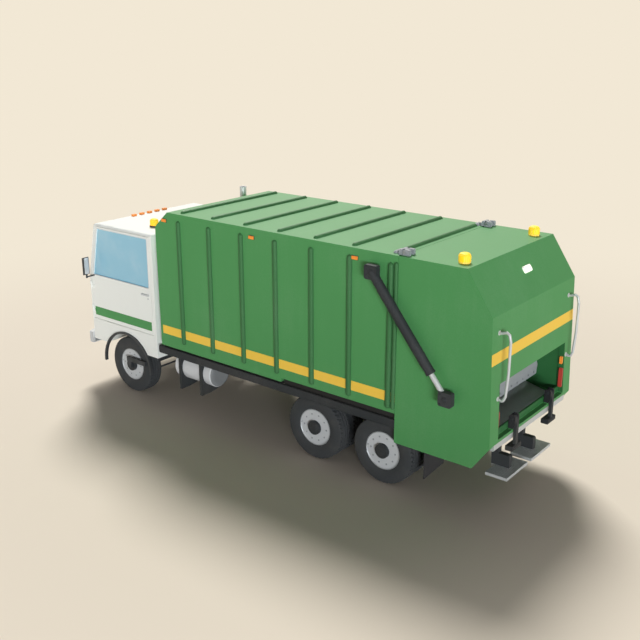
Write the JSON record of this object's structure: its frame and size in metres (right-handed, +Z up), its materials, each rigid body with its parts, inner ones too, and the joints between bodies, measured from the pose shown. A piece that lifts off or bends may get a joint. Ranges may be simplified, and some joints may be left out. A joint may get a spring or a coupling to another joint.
{
  "type": "rear-loading garbage truck",
  "caption": "Three-axle rear-loading garbage truck with a white cab-over cab, ribbed green body, hinged tailgate with packer blade, bin lifter and lift cylinders.",
  "frame": {"origin": "on the ground, midway between the front of the bumper and the rear of the grab rails, on the centre plane", "axes": "+X forwards, +Y to the left, +Z up"},
  "size_m": [8.62, 2.91, 3.6539],
  "materials": {
    "body_green": "satin",
    "cab_white": "satin",
    "chassis_black": "satin",
    "steel_dark": "satin",
    "light_grey": "satin",
    "rod_chrome": "polished",
    "rubber_black": "matte",
    "tyre_black": "matte",
    "cab_glass": "polished",
    "lamp_plastic": "gloss",
    "dark_plastic": "matte",
    "cast_grey": "rough"
  },
  "bodies": {
    "chassis": {"frame_rails": "chassis_black", "body_sills": "chassis_black", "axles": "cast_grey", "springs": "chassis_black", "driveline": "cast_grey", "side_tanks": "light_grey", "front_bumper": "light_grey", "exhaust_stack": "light_grey", "refuse_body": "body_green", "marker_lamps": "lamp_plastic", "cab_shell": "cab_white", "cab_glass": "cab_glass", "wheel_flares": "dark_plastic", "cab_interior": "dark_plastic", "grille": "dark_plastic"},
    "tie_rod": {"tie_rod": "chassis_black"},
    "tailgate": {"tailgate": "body_green", "tail_skirts": "body_green", "rear_step_and_rails": "light_grey", "tail_lamps": "lamp_plastic", "mud_flaps": "rubber_black"},
    "packer_blade": {"packer_blade": "steel_dark"},
    "lifter_arms": {"lifter_arms": "steel_dark"},
    "lift_barrels": {"lift_barrels": "steel_dark"},
    "lift_rods": {"lift_rods": "rod_chrome"},
    "door_left": {"door_left": "cab_white", "door_glass_left": "cab_glass", "mirror_left": "dark_plastic"},
    "knuckle_left": {"knuckle_left": "cast_grey"},
    "front_wheel_left": {"front_rim_left": "light_grey", "front_tyre_left": "tyre_black"},
    "rear_wheels_1_left": {"rear_rims_1_left": "light_grey", "rear_tyres_1_left": "tyre_black"},
    "rear_wheels_2_left": {"rear_rims_2_left": "light_grey", "rear_tyres_2_left": "tyre_black"},
    "door_right": {"door_right": "cab_white", "door_glass_right": "cab_glass", "mirror_right": "dark_plastic"},
    "knuckle_right": {"knuckle_right": "cast_grey"},
    "front_wheel_right": {"front_rim_right": "light_grey", "front_tyre_right": "tyre_black"},
    "rear_wheels_1_right": {"rear_rims_1_right": "light_grey", "rear_tyres_1_right": "tyre_black"},
    "rear_wheels_2_right": {"rear_rims_2_right": "light_grey", "rear_tyres_2_right": "tyre_black"}
  },
  "joints": [
    {"name": "door_left", "type": "hinge", "parent": "chassis", "child": "door_left", "pos_m": [4.024, 1.248, 1.5], "axis": [0, 0, -1], "range_deg": [0, 70]},
    {"name": "steer_left", "type": "hinge", "parent": "chassis", "child": "knuckle_left", "pos_m": [3.145, 0.9, 0.52], "axis": [0, 0, 1], "range_deg": [-35, 35]},
    {"name": "front_spin_left", "type": "hinge", "parent": "knuckle_left", "child": "front_wheel_left", "pos_m": [3.145, 1.02, 0.52], "axis": [0, 1, 0], "continuous": true},
    {"name": "rear_spin_1_left", "type": "hinge", "parent": "chassis", "child": "rear_wheels_1_left", "pos_m": [-1.15, 1.02, 0.52], "axis": [0, 1, 0], "continuous": true},
    {"name": "rear_spin_2_left", "type": "hinge", "parent": "chassis", "child": "rear_wheels_2_left", "pos_m": [-2.42, 1.02, 0.52], "axis": [0, 1, 0], "continuous": true},
    {"name": "door_right", "type": "hinge", "parent": "chassis", "child": "door_right", "pos_m": [4.024, -1.248, 1.5], "axis": [0, 0, 1], "range_deg": [0, 70]},
    {"name": "steer_right", "type": "hinge", "parent": "chassis", "child": "knuckle_right", "pos_m": [3.145, -0.9, 0.52], "axis": [0, 0, 1], "range_deg": [-35, 35]},
    {"name": "front_spin_right", "type": "hinge", "parent": "knuckle_right", "child": "front_wheel_right", "pos_m": [3.145, -1.02, 0.52], "axis": [0, 1, 0], "continuous": true},
    {"name": "rear_spin_1_right", "type": "hinge", "parent": "chassis", "child": "rear_wheels_1_right", "pos_m": [-1.15, -1.02, 0.52], "axis": [0, 1, 0], "continuous": true},
    {"name": "rear_spin_2_right", "type": "hinge", "parent": "chassis", "child": "rear_wheels_2_right", "pos_m": [-2.42, -1.02, 0.52], "axis": [0, 1, 0], "continuous": true},
    {"name": "tie_rod_slide", "type": "slide", "parent": "chassis", "child": "tie_rod", "axis": [0, 1, 0], "range_m": [-0.125, 0.125]},
    {"name": "tailgate_lift", "type": "hinge", "parent": "chassis", "child": "tailgate", "pos_m": [-2.734, 0, 3.565], "axis": [0, 1, 0], "range_deg": [0, 80]},
    {"name": "lift_swing", "type": "hinge", "parent": "chassis", "child": "lift_barrels", "pos_m": [-2.33, 0, 3.265], "axis": [0, 1, 0], "range_deg": [0, 70.4]},
    {"name": "lift_extend", "type": "slide", "parent": "lift_barrels", "child": "lift_rods", "axis": [-0.6278, 0, -0.7784], "range_m": [0, 0.521]},
    {"name": "packer_swing", "type": "hinge", "parent": "tailgate", "child": "packer_blade", "pos_m": [-3.51, 0, 2.35], "axis": [0, 1, 0], "range_deg": [-50, 20]},
    {"name": "lifter_swing", "type": "hinge", "parent": "tailgate", "child": "lifter_arms", "pos_m": [-4.178, 0, 1.352], "axis": [0, 1, 0], "range_deg": [0, 120]}
  ],
  "couplings": [
    {"joint": "steer_right", "follows": "steer_left", "ratio": 1},
    {"joint": "tie_rod_slide", "follows": "steer_left", "m_per_rad": -0.197},
    {"joint": "lift_swing", "follows": "tailgate_lift", "ratio": 0.8741},
    {"joint": "lift_extend", "follows": "tailgate_lift", "m_per_rad": 0.37021}
  ]
}
